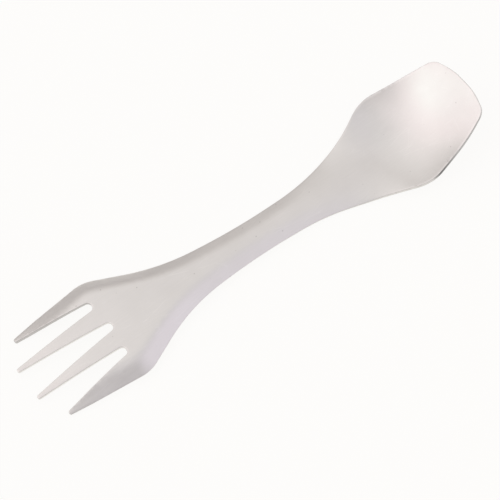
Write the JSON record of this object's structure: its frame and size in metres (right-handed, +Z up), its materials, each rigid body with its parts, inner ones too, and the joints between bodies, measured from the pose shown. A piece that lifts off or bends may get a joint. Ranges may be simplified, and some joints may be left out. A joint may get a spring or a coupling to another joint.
{
  "type": "double-ended spork",
  "caption": "Slim one-piece table utensil pressed from thin sheet metal: a fork at one end, a waisted flat handle and a squared spoon at the other.",
  "frame": {"origin": "centre of the bounding box in plan, on the table surface that the spork lies on", "axes": "+X along the handle from the fork to the spoon, +Z up with the spoon's bowl open to the top, +Y across"},
  "size_m": [0.1702, 0.0374, 0.0163],
  "materials": {
    "satin_metal": "fine bead-blasted satin, bare metal, slightly brighter on the worn edges"
  },
  "bodies": {
    "root": {"spork_body": "satin_metal"}
  },
  "joints": []
}
